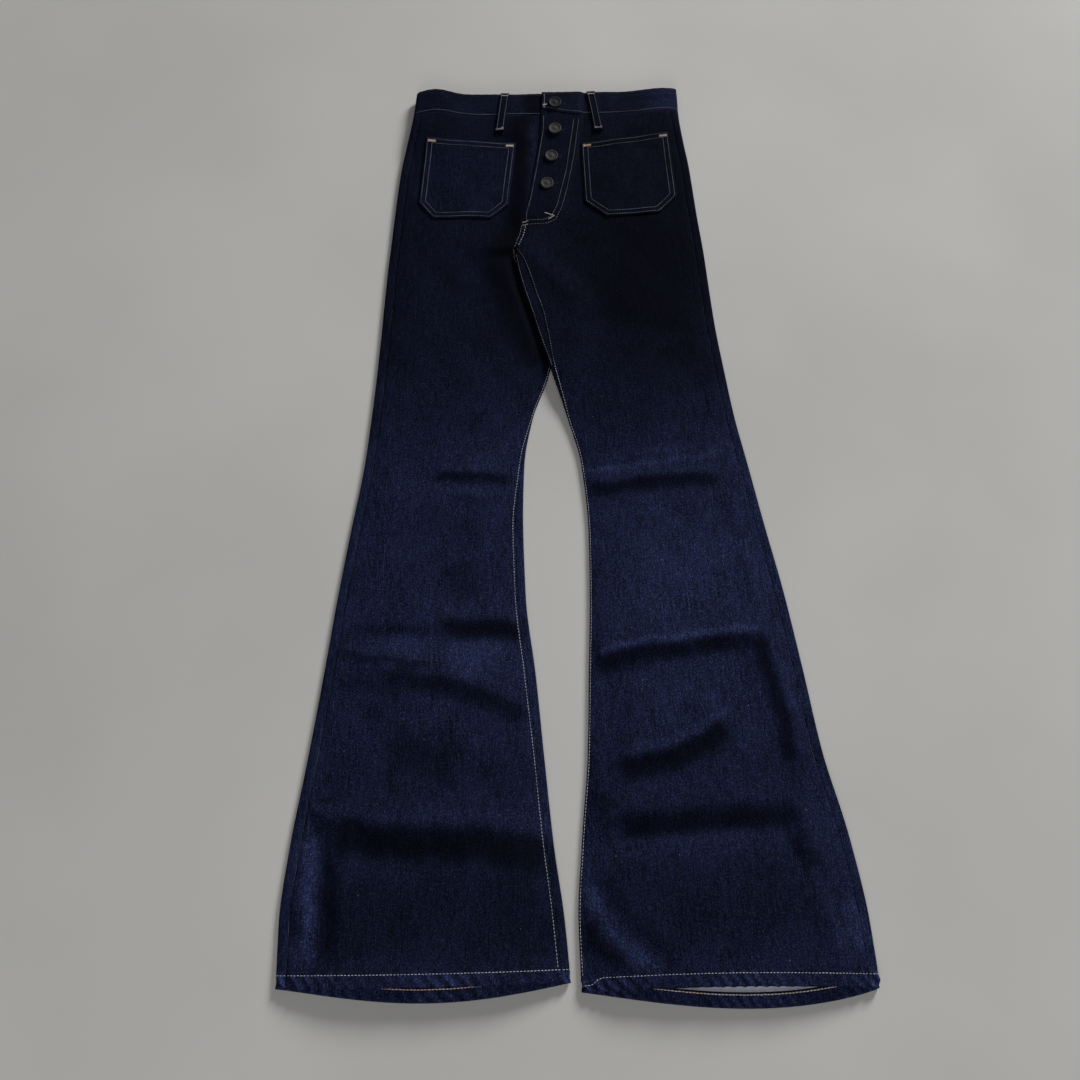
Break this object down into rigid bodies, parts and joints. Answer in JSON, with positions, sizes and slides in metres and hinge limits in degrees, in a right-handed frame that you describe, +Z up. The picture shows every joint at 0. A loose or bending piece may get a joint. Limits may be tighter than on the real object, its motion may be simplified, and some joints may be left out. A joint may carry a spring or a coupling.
{
  "type": "flared jeans",
  "caption": "Flared denim jeans laid flat, front side up, with patch pockets, belt loops and a fly of exposed shank buttons, legs crossed slightly at the thigh.",
  "frame": {"origin": "the middle of the garment's box at the surface it lies on", "axes": "+X towards the wearer's left, +Y from the hems to the waist, +Z up, out of the garment's front"},
  "size_m": [0.599, 1.1386, 0.0204],
  "materials": {
    "denim": "raw indigo denim, warp-faced twill, matt with a faint sheen",
    "button_metal": "antique dark grey metal, satin"
  },
  "bodies": {
    "root": {"back_leg_left": "denim", "back_leg_right": "denim", "front_leg_left": "denim", "front_leg_right": "denim", "waistband": "denim", "button_stand": "denim", "pocket_left": "denim", "pocket_right": "denim", "belt_loop_front_left": "denim", "belt_loop_front_right": "denim", "belt_loop_back_left": "denim", "belt_loop_back_centre": "denim", "belt_loop_back_right": "denim", "button_waist": "button_metal", "button_upper": "button_metal", "button_middle": "button_metal", "button_lower": "button_metal"}
  },
  "joints": []
}
